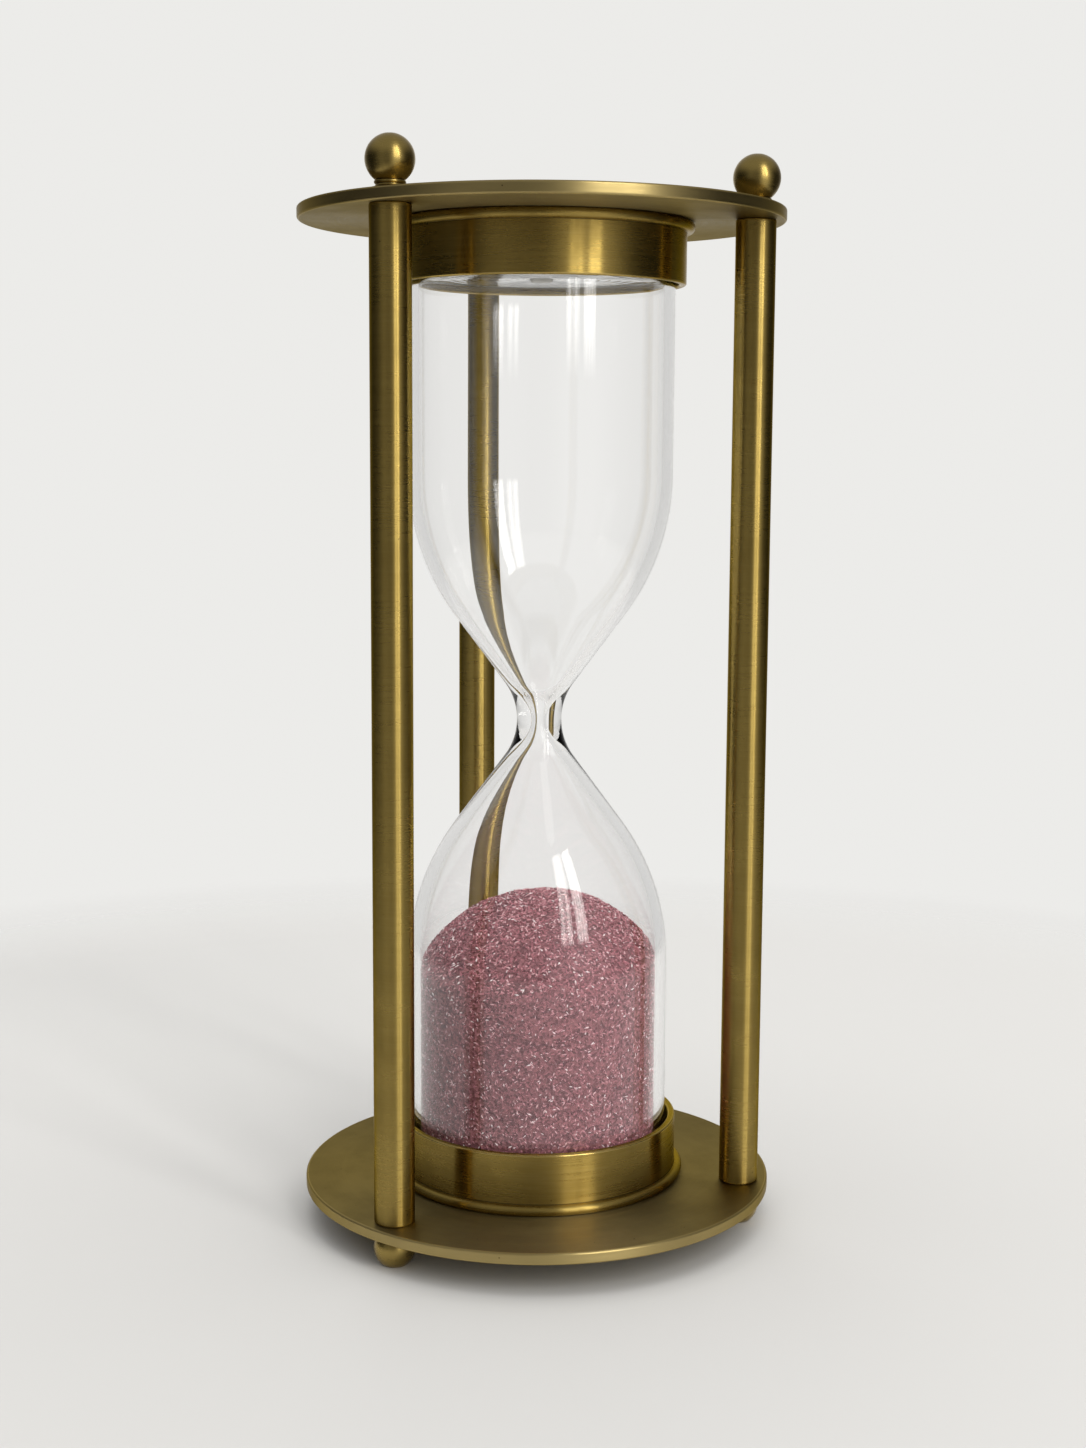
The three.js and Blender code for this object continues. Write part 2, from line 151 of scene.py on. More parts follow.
# Segments round each kind of turned piece
WIDE_SEGMENTS = 192
GLASS_SEGMENTS = 160
SAND_SEGMENTS = 160
CUSHION_SEGMENTS = 128
BRASS_SEGMENTS = 96
STOPPER_SEGMENTS = 64
HOLE_SEGMENTS = 48
STUD_SEGMENTS = 24

# ------------------------------------------------------------------ outlines and turned meshes

TINY = 1e-7  # a radius or length below this counts as none
NEARLY_STRAIGHT = math.radians(20)
LONGEST_ROUNDING = 0.4  # of the shorter side at the corner
END_OF_WEAR = 1.2  # of the rounding's reach from the corner


def arc(centre_radius, centre_height, radius, start, end, steps):
    """Points of an arc in the (radius, height) plane, ends included."""
    points = []
    for i in range(steps + 1):
        angle = start + (end - start) * i / steps
        point = (centre_radius + radius * math.cos(angle), centre_height + radius * math.sin(angle))
        points.append(point)
    return points


def softened(points, size, steps=3):
    """The outline as (radius, height, wear) points with its sharp corners rounded.

    Wear is 1 on an outer corner, which hands polish, and -1 in an inner one, which is coloured darker."""
    result = [(*points[0], 0)]
    for before, corner, after in zip(points, points[1:], points[2:]):
        here = Vector(corner)
        back = Vector(before) - here
        on = Vector(after) - here
        no_corner = back.length < TINY or on.length < TINY
        if no_corner or abs(back.angle(on) - math.pi) < NEARLY_STRAIGHT:
            result.append((*corner, 0))
            continue
        wear_and_sheen = 1 if back.x * on.y - back.y * on.x < 0 else -1
        reach = min(size, LONGEST_ROUNDING * back.length, LONGEST_ROUNDING * on.length)
        start = here + back.normalized() * reach
        end = here + on.normalized() * reach
        result.append((*(here + back.normalized() * reach * END_OF_WEAR), 0))
        for i in range(steps + 1):
            t = i / steps
            point = start.lerp(here, t).lerp(here.lerp(end, t), t)
            result.append((*point, wear_and_sheen))
        result.append((*(here + on.normalized() * reach * END_OF_WEAR), 0))
    result.append((*points[-1], 0))
    return result


def linked(name, data):
    """A new object in the scene, for a mesh, a lamp or a camera."""
    piece = bpy.data.objects.new(name, data)
    bpy.context.scene.collection.objects.link(piece)
    return piece


def ring_faces(lower, upper, segments):
    """Faces between two rings of vertex numbers. A ring of one vertex is a point on the axis."""
    if len(lower) == 1 and len(upper) == 1:
        return []
    faces = []
    for i in range(segments):
        j = (i + 1) % segments
        if len(lower) == 1:
            faces.append((lower[0], upper[j], upper[i]))
        elif len(upper) == 1:
            faces.append((lower[i], lower[j], upper[0]))
        else:
            faces.append((lower[i], lower[j], upper[j], upper[i]))
    return faces


def turned(name, outline, segments, shape=None):
    """A closed mesh turned about +Z. The outline starts and ends on the axis, or ends on its first point.

    shape(radius, height, angle) may return a moved (radius, height) for each vertex."""
    closed = outline[0][:2] == outline[-1][:2]
    if closed:
        outline = outline[:-1]
    vertices = []
    rings = []
    wear_and_sheen_values = []
    for radius, height, *wear_and_sheen in outline:
        ring = []
        on_axis = radius < TINY
        for i in range(1 if on_axis else segments):
            angle = 2 * math.pi * i / segments
            r, z = shape(radius, height, angle) if shape else (radius, height)
            ring.append(len(vertices))
            vertices.append((0, 0, z) if on_axis else (r * math.cos(angle), r * math.sin(angle), z))
            wear_and_sheen_values.append(wear_and_sheen[0] if wear_and_sheen else 0)
        rings.append(ring)
    next_rings = rings[1:] + rings[:1] if closed else rings[1:]
    faces = []
    for lower, upper in zip(rings, next_rings):
        faces += ring_faces(lower, upper, segments)
    mesh = bpy.data.meshes.new(name)
    mesh.from_pydata(vertices, [], faces)
    layer = mesh.attributes.new("wear_and_sheen", "FLOAT", "POINT")
    layer.data.foreach_set("value", wear_and_sheen_values)
    mesh.shade_smooth()
    mesh.update()
    return linked(name, mesh)


def finished(piece, node, slot, *materials, at=(0, 0, 0), upside_down=False, weighted=True):
    """Places a piece made about its own axis and lets it stand for a CAD node."""
    turn = Matrix.Rotation(math.pi, 4, "X") if upside_down else Matrix.Identity(4)
    piece.matrix_world = Matrix.Translation(at) @ turn
    for each in materials:
        piece.data.materials.append(each)
    if weighted:
        piece.modifiers.new("weighted normals", "WEIGHTED_NORMAL").keep_sharp = True
    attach(piece, "root")
    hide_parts(node)


# ------------------------------------------------------------------ node helpers


class Nodes:
    """Short calls for making the nodes of a material, a lamp or the world."""

    def __init__(self, tree):
        self.tree = tree
        tree.nodes.clear()

    def add(self, kind, inputs=None, **settings):
        """A new node. Each input is a value, or the output of another node."""
        node = self.tree.nodes.new(kind)
        for name, value in settings.items():
            setattr(node, name, value)
        for key, value in (inputs or {}).items():
            if isinstance(value, bpy.types.NodeSocket):
                self.tree.links.new(value, node.inputs[key])
            else:
                node.inputs[key].default_value = value
        return node

    def place(self):
        return self.add("ShaderNodeTexCoord").outputs["Object"]

    def math(self, operation, a, b=0.0):
        return self.add("ShaderNodeMath", {0: a, 1: b}, operation=operation).outputs[0]

    def scaled(self, vector, factors):
        return self.add("ShaderNodeVectorMath", {0: vector, 1: factors}, operation="MULTIPLY").outputs[0]

    def length(self, vector):
        return self.add("ShaderNodeVectorMath", {0: vector}, operation="LENGTH").outputs["Value"]

    def dot(self, vector, other):
        inputs = {0: vector, 1: other}
        return self.add("ShaderNodeVectorMath", inputs, operation="DOT_PRODUCT").outputs["Value"]

    def noise(self, vector, scale, detail, roughness, w=None):
        inputs = {"Vector": vector, "Scale": scale, "Detail": detail, "Roughness": roughness}
        if w is None:
            return self.add("ShaderNodeTexNoise", inputs, noise_dimensions="3D").outputs["Fac"]
        inputs["W"] = w
        return self.add("ShaderNodeTexNoise", inputs, noise_dimensions="4D").outputs["Fac"]

    def ranged(self, value, low, high, to_low=0.0, to_high=1.0, smooth=False):
        """The value, with low to high stretched to to_low to to_high and held there beyond."""
        inputs = {"Value": value, "From Min": low, "From Max": high, "To Min": to_low, "To Max": to_high}
        curve = "SMOOTHSTEP" if smooth else "LINEAR"
        return self.add("ShaderNodeMapRange", inputs, interpolation_type=curve).outputs[0]

    def mixed(self, share, a, b):
        return self.add("ShaderNodeMix", {0: share, 6: a, 7: b}, data_type="RGBA").outputs[2]

    def mixed_shaders(self, share, a, b):
        return self.add("ShaderNodeMixShader", {0: share, 1: a.outputs[0], 2: b.outputs[0]}).outputs[0]

    def bump(self, height, strength, distance, normal=None):
        inputs = {"Height": height, "Strength": strength, "Distance": distance}
        if normal is not None:
            inputs["Normal"] = normal
        return self.add("ShaderNodeBump", inputs).outputs[0]

    def surface(self, shader):
        self.add("ShaderNodeOutputMaterial", {"Surface": shader})

    def principled(self, inputs):
        """The material's only shader, with its values and the textures that vary them."""
        self.surface(self.add("ShaderNodeBsdfPrincipled", inputs).outputs[0])


def material(name):
    made = bpy.data.materials.new(name)
    made.use_nodes = True
    return made, Nodes(made.node_tree)


# ------------------------------------------------------------------ materials

# Colour that inner corners are mixed towards, which makes them darker.
INNER_CORNER_DARK = (0.02, 0.014, 0.005, 1)
DARK_FLECK = (0.03, 0.02, 0.008, 1)
LATHE_MARK_DEPTH = 0.03 * MM
PATINA_DEPTH = 0.2 * MM
WHITE = (1, 1, 1, 1)


def brass(
    name, *, mid, dark, light, roughness, round_marks, cross_marks, streaks, depth, anisotropy, coat, edge
):
    """Turned antique brass: fine rings from the lathe, brown patina, worn edges, darker inner corners, and
    a painted sheen that lightens the plate's rim.

    mid, dark and light are the colours of bare metal, patina and polish. round_marks and cross_marks are
    how many lathe marks fit in a metre, along the marks and across them. streaks is how much of the light
    colour the marks show, depth the strength of their relief. anisotropy stretches the highlights along
    the piece, coat is the weight of the lacquer, and edge tints what is reflected at a low angle."""
    made, nodes = material(name)
    place = nodes.place()
    from_axis = nodes.length(nodes.scaled(place, (1, 1, 0)))
    counts = (round_marks, round_marks, cross_marks)
    ring = nodes.math("MULTIPLY", from_axis, cross_marks)
    marks = nodes.noise(nodes.scaled(place, counts), scale=1.0, detail=3.0, roughness=0.65, w=ring)
    counts = (round_marks * 0.5, round_marks * 0.5, cross_marks * 0.2)
    ring = nodes.math("MULTIPLY", from_axis, cross_marks * 0.2)
    broad_marks = nodes.noise(nodes.scaled(place, counts), scale=1.0, detail=2.0, roughness=0.5, w=ring)
    patina = nodes.noise(place, scale=75.0, detail=4.0, roughness=0.6)
    cloud = nodes.noise(place, scale=22.0, detail=2.0, roughness=0.5)
    fleck = nodes.noise(place, scale=900.0, detail=1.0, roughness=0.4)
    wear_and_sheen = nodes.add("ShaderNodeAttribute", attribute_name="wear_and_sheen").outputs["Fac"]
    # Lighter where the value is above zero: worn outer corners, and on the plate's rim also a painted
    # sheen.
    polish_and_sheen = nodes.math("MAXIMUM", wear_and_sheen, 0.0)
    # Inner corners are made darker.
    darker_corner = nodes.math("MAXIMUM", nodes.math("MULTIPLY", wear_and_sheen, -1.0), 0.0)

    colour = nodes.mixed(nodes.ranged(patina, 0.4, 0.7, to_high=0.5), mid, dark)
    colour = nodes.mixed(nodes.ranged(cloud, 0.45, 0.75, to_high=0.3), colour, dark)
    colour = nodes.mixed(nodes.ranged(marks, 0.45, 0.75, to_high=streaks), colour, light)
    colour = nodes.mixed(nodes.ranged(broad_marks, 0.5, 0.72, to_high=streaks * 0.4), colour, light)
    # Worn edges lighten the colour; on the plate's rim the lightening is also a painted sheen.
    colour = nodes.mixed(nodes.math("MULTIPLY", polish_and_sheen, 0.75), colour, light)
    # Inner corners mixed towards a darker colour.
    colour = nodes.mixed(nodes.math("MULTIPLY", darker_corner, 0.7), colour, INNER_CORNER_DARK)
    colour = nodes.mixed(nodes.ranged(fleck, 0.78, 0.84, to_high=0.7), colour, DARK_FLECK)

    rough = nodes.ranged(marks, 0.3, 0.7, to_low=roughness - 0.04, to_high=roughness + 0.05)
    rough = nodes.math("ADD", rough, nodes.ranged(patina, 0.4, 0.7, to_high=0.06))
    rough = nodes.math("SUBTRACT", rough, nodes.math("MULTIPLY", polish_and_sheen, 0.1))
    relief = nodes.bump(marks, strength=depth, distance=LATHE_MARK_DEPTH)
    relief = nodes.bump(patina, strength=0.05, distance=PATINA_DEPTH, normal=relief)
    nodes.principled(
        {
            "Base Color": colour,
            "Roughness": rough,
            "Normal": relief,
            "Metallic": 1.0,
            "Anisotropic": anisotropy,
            "Anisotropic Rotation": 0.25,
            "Specular Tint": edge,
            "Coat Weight": coat,
            "Coat Roughness": 0.3,
        }
    )
    return made


def steel(name):
    """Plain screw steel with brown stains."""
    made, nodes = material(name)
    stain = nodes.noise(nodes.place(), scale=400.0, detail=3.0, roughness=0.6)
    colour = nodes.mixed(nodes.ranged(stain, 0.4, 0.7), (0.42, 0.43, 0.44, 1), (0.2, 0.19, 0.18, 1))
    rough = nodes.ranged(stain, 0.3, 0.7, to_low=0.3, to_high=0.5)
    nodes.principled({"Base Color": colour, "Roughness": rough, "Metallic": 1.0})
    return made


def blown_glass(name):
    """Clear glass that lets lamps through, with faint waves from blowing."""
    made, nodes = material(name)
    waves = nodes.noise(nodes.scaled(nodes.place(), (1, 1, 0.25)), scale=60.0, detail=1.0, roughness=0.4)
    relief = nodes.bump(waves, strength=0.1, distance=0.3 * MM)
    inputs = {"Normal": relief, "Color": WHITE, "Roughness": 0.0, "IOR": 1.46}
    glass = nodes.add("ShaderNodeBsdfGlass", inputs)
    clear = nodes.add("ShaderNodeBsdfTransparent", {"Color": (0.95, 0.96, 0.95, 1)})
    to_a_lamp = nodes.add("ShaderNodeLightPath").outputs["Is Shadow Ray"]
    nodes.surface(nodes.mixed_shaders(to_a_lamp, glass, clear))
    return made


def felt(name):
    """Pressed grey felt with fine fibres and soft tufts."""
    made, nodes = material(name)
    place = nodes.place()
    fibres = nodes.noise(place, scale=1800.0, detail=4.0, roughness=0.7)
    tufts = nodes.noise(place, scale=250.0, detail=2.0, roughness=0.5)
    colour = nodes.mixed(nodes.ranged(fibres, 0.35, 0.7), (0.6, 0.6, 0.54, 1), (0.8, 0.79, 0.73, 1))
    colour = nodes.mixed(nodes.ranged(tufts, 0.4, 0.7, to_high=0.4), colour, (0.5, 0.49, 0.45, 1))
    relief = nodes.bump(fibres, strength=0.7, distance=0.4 * MM)
    nodes.principled({"Base Color": colour, "Normal": relief, "Roughness": 0.95, "Sheen Weight": 0.4})
    return made


def rubber(name):
    """Pale rubber with a powdery bloom."""
    made, nodes = material(name)
    bloom = nodes.noise(nodes.place(), scale=600.0, detail=3.0, roughness=0.6)
    colour = nodes.mixed(nodes.ranged(bloom, 0.4, 0.7), (0.56, 0.54, 0.5, 1), (0.68, 0.66, 0.62, 1))
    rough = nodes.ranged(bloom, 0.3, 0.7, to_low=0.6, to_high=0.8)
    relief = nodes.bump(bloom, strength=0.3, distance=0.1 * MM)
    nodes.principled({"Base Color": colour, "Roughness": rough, "Normal": relief})
    return made


def packed_sand(name):
    """What shows between the loose grains: the same sand, darker, with the shade between the grains
    painted in.
    """
    made, nodes = material(name)
    place = nodes.place()
    speck = nodes.add("ShaderNodeTexVoronoi", {"Vector": place, "Scale": 1700.0})
    tone = nodes.add("ShaderNodeSeparateColor", {0: speck.outputs["Color"]}).outputs[0]
    cloud = nodes.noise(place, scale=90.0, detail=3.0, roughness=0.6)
    # Darker than the loose grains: painted shade between them.
    colour = nodes.mixed(nodes.ranged(tone, 0.1, 0.9), (0.1, 0.03, 0.038, 1), (0.32, 0.12, 0.14, 1))
    colour = nodes.mixed(nodes.ranged(cloud, 0.4, 0.7, to_high=0.3), colour, (0.2, 0.08, 0.1, 1))
    relief = nodes.bump(speck.outputs["Distance"], strength=0.8, distance=0.3 * MM)
    nodes.principled({"Base Color": colour, "Normal": relief, "Roughness": 0.9})
    return made


def grain(name, colour, roughness):
    """One tone of loose grain. The mix of tones in the heap is what varies its colour."""
    made, nodes = material(name)
    nodes.principled({"Base Color": colour, "Roughness": roughness})
    return made


# ------------------------------------------------------------------ the brass frame

plate_brass = brass(
    "plate brass",
    mid=(0.3, 0.232, 0.1, 1),
    dark=(0.22, 0.17, 0.075, 1),
    light=(0.5, 0.385, 0.16, 1),
    roughness=0.42,
    round_marks=90,
    cross_marks=1800,
    streaks=0.25,
    depth=0.3,
    anisotropy=0.8,
    coat=0.0,
    edge=(0.5, 0.46, 0.36, 1),
)
pillar_brass = brass(
    "pillar brass",
    mid=(0.36, 0.255, 0.07, 1),
    dark=(0.26, 0.18, 0.048, 1),
    light=(0.5, 0.38, 0.13, 1),
    roughness=0.28,
    round_marks=120,
    cross_marks=2200,
    streaks=0.16,
    depth=0.4,
    anisotropy=1.0,
    coat=0.05,
    edge=(0.5, 0.44, 0.3, 1),
)
collar_brass = brass(
    "collar brass",
    mid=(0.37, 0.26, 0.067, 1),
    dark=(0.26, 0.178, 0.045, 1),
    light=(0.54, 0.4, 0.14, 1),
    roughness=0.26,
    round_marks=70,
    cross_marks=2000,
    streaks=0.25,
    depth=0.45,
    anisotropy=1.0,
    coat=0.04,
    edge=(0.5, 0.44, 0.3, 1),
)
ball_brass = brass(
    "ball brass",
    mid=(0.36, 0.26, 0.075, 1),
    dark=(0.27, 0.19, 0.052, 1),
    light=(0.5, 0.38, 0.15, 1),
    roughness=0.27,
    round_marks=150,
    cross_marks=2000,
    streaks=0.08,
    depth=0.1,
    anisotropy=0.5,
    coat=0.15,
    edge=WHITE,
)
stud_steel = steel("stud steel")

PAST_PLATE = MM  # how far a stud hole's cutter reaches past both faces
PAST_RECESS = 9 * MM  # how far the recess's cutter reaches past the plate's face
FLARE_STEPS = 10
BALL_STEPS = 40
BEAD_STEPS = 12
FLANGE_STEPS = 16
THREAD_STEPS_PER_TURN = 6


def hole_cutter(x, y, low, high, radius):
    """A plain cylinder to cut with."""
    cutter = turned("cutter", [(0, low), (radius, low), (radius, high), (0, high)], HOLE_SEGMENTS)
    cutter.location = (x, y, 0)
    return cutter


def cut_with(piece, cutters):
    """Cuts every cutter's shape out of the piece's mesh, and removes the cutters."""
    for cutter in cutters:
        cut = piece.modifiers.new("hole", "BOOLEAN")
        cut.operation = "DIFFERENCE"
        cut.solver = "EXACT"
        cut.object = cutter
    graph = bpy.context.evaluated_depsgraph_get()
    cut_mesh = bpy.data.meshes.new_from_object(piece.evaluated_get(graph))
    piece.modifiers.clear()
    piece.data = cut_mesh
    for cutter in cutters:
        bpy.data.objects.remove(cutter)


def plate(node, seat, recess_low, recess_high):
    """A round plate with a stud hole at each pillar and a recess for the collar's boss."""
    thickness = PLATE_TOP - UPPER_SEAT
    outline = [
        (0, 0),
        (PLATE_RADIUS - PLATE_CHAMFER, 0),
        (PLATE_RADIUS, PLATE_CHAMFER),
        (PLATE_RADIUS, thickness - PLATE_CHAMFER),
        (PLATE_RADIUS - PLATE_CHAMFER, thickness),
        (0, thickness),
    ]
    soft = []
    for radius, height, wear_and_sheen in softened(outline, PLATE_EDGE):
        # The rim's value is raised: partly real polish, partly a painted sheen that lightens its colour.
        on_rim = radius == PLATE_RADIUS
        soft.append((radius, height, max(wear_and_sheen, PLATE_RIM_WEAR_AND_SHEEN) if on_rim else wear_and_sheen))
    piece = turned(f"{node}_brass", soft, WIDE_SEGMENTS)
    cutters = [hole_cutter(0, 0, recess_low, recess_high, BOSS_RADIUS + BOSS_CLEARANCE)]
    for station in STATIONS:
        x, y = centre_of(f"pillar_{station}")
        cutters.append(hole_cutter(x, y, -PAST_PLATE, thickness + PAST_PLATE, STUD_HOLE_RADIUS))
    cut_with(piece, cutters)
    finished(piece, node, "plates", plate_brass, at=(0, 0, seat))


def pillar(node):
    """Plain rod between the plates, with a stud hole in each end."""
    length = UPPER_SEAT - LOWER_SEAT
    outline = [
        (0, STUD_HOLE_DEPTH),
        (STUD_HOLE_RADIUS, STUD_HOLE_DEPTH),
        (STUD_HOLE_RADIUS, 0),
        (PILLAR_RADIUS - PILLAR_CHAMFER, 0),
        (PILLAR_RADIUS, PILLAR_CHAMFER),
        (PILLAR_RADIUS, length - PILLAR_CHAMFER),
        (PILLAR_RADIUS - PILLAR_CHAMFER, length),
        (STUD_HOLE_RADIUS, length),
        (STUD_HOLE_RADIUS, length - STUD_HOLE_DEPTH),
        (0, length - STUD_HOLE_DEPTH),
    ]
    piece = turned(f"{node}_brass", softened(outline, FINE_EDGE), BRASS_SEGMENTS)
    finished(piece, node, "pillars", pillar_brass, at=(*centre_of(node), LOWER_SEAT))


def stud(node):
    """A threaded rod, with one helix from end to end."""
    low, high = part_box(node)
    length = high.z - low.z
    steps = round(length / THREAD_PITCH * THREAD_STEPS_PER_TURN)

    def thread(radius, height, angle):
        if radius < STUD_RADIUS:
            return radius, height
        turns = height / THREAD_PITCH - angle / (2 * math.pi)
        groove = 1 - abs(2 * (turns % 1) - 1)
        return radius - THREAD_DEPTH * groove, height

    root = STUD_RADIUS - THREAD_DEPTH
    side = [(STUD_RADIUS, length * i / steps) for i in range(steps + 1)]
    outline = [(0, 0), (root, 0), *side, (root, length), (0, length)]
    piece = turned(f"{node}_thread", outline, STUD_SEGMENTS, thread)
    finished(piece, node, "studs", stud_steel, at=(*centre_of(node), low.z), weighted=False)


def washer(node, sizes, upside_down):
    """A flared base that carries a ball nut's seat down to the plate."""
    flare_width = sizes["radius"] - sizes["neck"]
    flare_height = sizes["height"] - sizes["rim"]
    outline = [(STUD_HOLE_RADIUS, 0), (sizes["radius"], 0), (sizes["radius"], sizes["rim"])]
    for i in range(1, FLARE_STEPS + 1):
        angle = math.pi / 2 * i / FLARE_STEPS
        radius = sizes["radius"] - flare_width * math.sin(angle)
        outline.append((radius, sizes["height"] - flare_height * math.cos(angle)))
    outline += [(STUD_HOLE_RADIUS, sizes["height"]), (STUD_HOLE_RADIUS, 0)]
    piece = turned(f"{node}_brass", softened(outline, FINE_EDGE), BRASS_SEGMENTS)
    place = (*centre_of(node), PLATE_BOTTOM if upside_down else PLATE_TOP)
    finished(piece, node, "washers", ball_brass, at=place, upside_down=upside_down)


def reach_from_plate(node, upside_down):
    """How far the node reaches below the bottom plate, or above the top one."""
    low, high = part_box(node)
    return PLATE_BOTTOM - low.z if upside_down else high.z - PLATE_TOP


def ball_nut(node, stud_node, *, ball_radius, neck_radius, flat_radius, bead, seat, upside_down):
    """A ball with a stud hole and a seat below, a turned flat on its pole, and maybe a bead between."""
    height = reach_from_plate(node, upside_down)
    centre = height - math.sqrt(ball_radius**2 - flat_radius**2)
    hole = reach_from_plate(stud_node, upside_down) + STUD_HOLE_PAST_STUD
    neck_angle = -math.acos(neck_radius / ball_radius)
    flat_angle = math.acos(flat_radius / ball_radius)
    outline = [
        (0, hole),
        (STUD_HOLE_RADIUS, hole),
        (STUD_HOLE_RADIUS, seat),
        *bead,
        *arc(0, centre, ball_radius, neck_angle, flat_angle, BALL_STEPS),
        (0, height),
    ]
    piece = turned(f"{node}_brass", softened(outline, FINE_EDGE), BRASS_SEGMENTS)
    place = (*centre_of(node), PLATE_BOTTOM if upside_down else PLATE_TOP)
    finished(piece, node, "balls", ball_brass, at=place, upside_down=upside_down)


def finial(station):
    """The ball nut above the top plate, with a bead at its neck."""
    seat = FINIAL_WASHER["height"]
    half = FINIAL_BEAD_HEIGHT / 2
    bead = arc(FINIAL_BEAD_RADIUS - half, seat + half, half, -math.pi / 2, math.pi / 2, BEAD_STEPS)
    ball_nut(
        f"finial_{station}",
        f"finial_stud_{station}",
        ball_radius=FINIAL_BALL_RADIUS,
        neck_radius=FINIAL_NECK_RADIUS,
        flat_radius=FINIAL_FLAT_RADIUS,
        bead=bead,
        seat=seat,
        upside_down=False,
    )


def foot(station):
    """The ball nut below the bottom plate, which stands on its flat."""
    ball_nut(
        f"foot_{station}",
        f"foot_stud_{station}",
        ball_radius=FOOT_BALL_RADIUS,
        neck_radius=FOOT_NECK_RADIUS,
        flat_radius=FOOT_FLAT_RADIUS,
        bead=[],
        seat=FOOT_WASHER["height"],
        upside_down=True,
    )


def collar(node, seat, upside_down):
    """A turned cup that holds an end of the glass, with a bead at the plate and a boss in its recess."""
    half = FLANGE_HEIGHT / 2
    outline = [
        (0, -BOSS_HEIGHT),
        (BOSS_RADIUS, -BOSS_HEIGHT),
        (BOSS_RADIUS, 0),
        *arc(FLANGE_RADIUS - half, half, half, -math.pi / 2, math.pi / 2, FLANGE_STEPS),
        (COLLAR_RADIUS, FLANGE_HEIGHT),
        (COLLAR_RADIUS, COLLAR_HEIGHT - COLLAR_LIP),
        (COLLAR_RADIUS - COLLAR_LIP, COLLAR_HEIGHT),
        (COLLAR_BORE + COLLAR_LIP, COLLAR_HEIGHT),
        (COLLAR_BORE, COLLAR_HEIGHT - COLLAR_LIP),
        (COLLAR_BORE, COLLAR_FLOOR),
        (0, COLLAR_FLOOR),
    ]
    piece = turned(f"{node}_brass", softened(outline, FINE_EDGE), WIDE_SEGMENTS)
    finished(piece, node, "collars", collar_brass, at=(0, 0, seat), upside_down=upside_down)


RECESS_DEPTH = BOSS_HEIGHT + BOSS_CLEARANCE
plate("bottom_plate", PLATE_BOTTOM, LOWER_SEAT - PLATE_BOTTOM - RECESS_DEPTH, PAST_RECESS)
plate("top_plate", UPPER_SEAT, -PAST_RECESS, RECESS_DEPTH)
for station in STATIONS:
    pillar(f"pillar_{station}")
    stud(f"foot_stud_{station}")
    stud(f"finial_stud_{station}")
    washer(f"finial_washer_{station}", FINIAL_WASHER, upside_down=False)
    washer(f"foot_washer_{station}", FOOT_WASHER, upside_down=True)
    finial(station)
    foot(station)
collar("bottom_collar", LOWER_SEAT, upside_down=False)
collar("top_collar", UPPER_SEAT, upside_down=True)

# ------------------------------------------------------------------ the glass

# The cone touches the neck arc and the shoulder arc. Heights are from the waist.
CONE_SLOPE = math.tan(CONE_ANGLE)
ARC_DROP = 1 - math.cos(CONE_ANGLE)
CONE_FOOT = WAIST_RADIUS + NECK_ARC * (ARC_DROP - CONE_SLOPE * math.sin(CONE_ANGLE))
CONE_TOP_HEIGHT = (GLASS_RADIUS - SHOULDER_ARC * ARC_DROP - CONE_FOOT) / CONE_SLOPE
SHOULDER_HEIGHT = CONE_TOP_HEIGHT + SHOULDER_ARC * math.sin(CONE_ANGLE)

SAME_HEIGHT = 0.001 * MM
NARROWEST_WAVY = BORE_RADIUS * 1.5

NECK_STEPS = 24
CONE_STEPS = 6
SHOULDER_STEPS = 30
WALL_STEPS = 12
CORNER_STEPS = 10
END_STEPS = 36


def bulb_side(waist_radius, inset):
    """Neck arc, cone and shoulder arc, as in the CAD source, with more points."""
    cone_foot = CONE_FOOT - inset / math.cos(CONE_ANGLE)
    neck_arc = (waist_radius - cone_foot) / (CONE_SLOPE * math.sin(CONE_ANGLE) - ARC_DROP)
    shoulder_arc = SHOULDER_ARC - inset
    neck = arc(waist_radius + neck_arc, 0, neck_arc, math.pi, math.pi - CONE_ANGLE, NECK_STEPS)
    shoulder = arc(
        GLASS_RADIUS - SHOULDER_ARC, SHOULDER_HEIGHT, shoulder_arc, -CONE_ANGLE, 0, SHOULDER_STEPS
    )
    start = Vector(neck[-1])
    end = Vector(shoulder[0])
    cone = [tuple(start.lerp(end, i / CONE_STEPS)) for i in range(1, CONE_STEPS)]
    return neck + cone + shoulder


def bulb_end(radius, height, corner):
    """The straight wall above the shoulder, and the rounded corner at its end."""
    foot_of_wall = Vector((radius, SHOULDER_HEIGHT))
    top_of_wall = Vector((radius, height - corner))
    wall = [tuple(foot_of_wall.lerp(top_of_wall, i / WALL_STEPS)) for i in range(1, WALL_STEPS)]
    return wall + arc(radius - corner, height - corner, corner, 0, math.pi / 2, CORNER_STEPS)


def end_face(outer_radius, inner_radius, height):
    """The flat end of a bulb from its corner inwards, in steps fine enough for the rings."""
    width = inner_radius - outer_radius
    return [(outer_radius + width * i / END_STEPS, height) for i in range(1, END_STEPS + 1)]


def mirrored(points):
    """The same points below the waist, in the opposite order."""
    return [(radius, -height) for radius, height in reversed(points)]


def blown(radius, height, angle):
    """Moves a point of the ideal glass to where blowing left it. The outer faces of the ends stay flat."""
    on_inner_end = abs(abs(height) - INNER_HALF_LENGTH) < SAME_HEIGHT
    if on_inner_end and radius > FILL_HOLE_RADIUS:
        fade = min(1, (GLASS_BORE - INNER_CORNER - radius) / GLASS_RING_FADE)
        ring = GLASS_RING * abs(math.cos(math.pi * radius / GLASS_RING_SPACING)) * max(0, fade)
        return radius, height - math.copysign(ring, height)
    on_side = radius > NARROWEST_WAVY and abs(height) < INNER_HALF_LENGTH - GLASS_RING_FADE
    if not on_side:
        return radius, height
    at = Vector((radius * math.cos(angle), radius * math.sin(angle), height * GLASS_WAVE_STRETCH))
    strength = min(1, radius / WAIST_RADIUS - GLASS_WAVE_FADE)
    return radius + GLASS_WAVE * noise.noise(at / GLASS_WAVE_SPACING) * strength, height


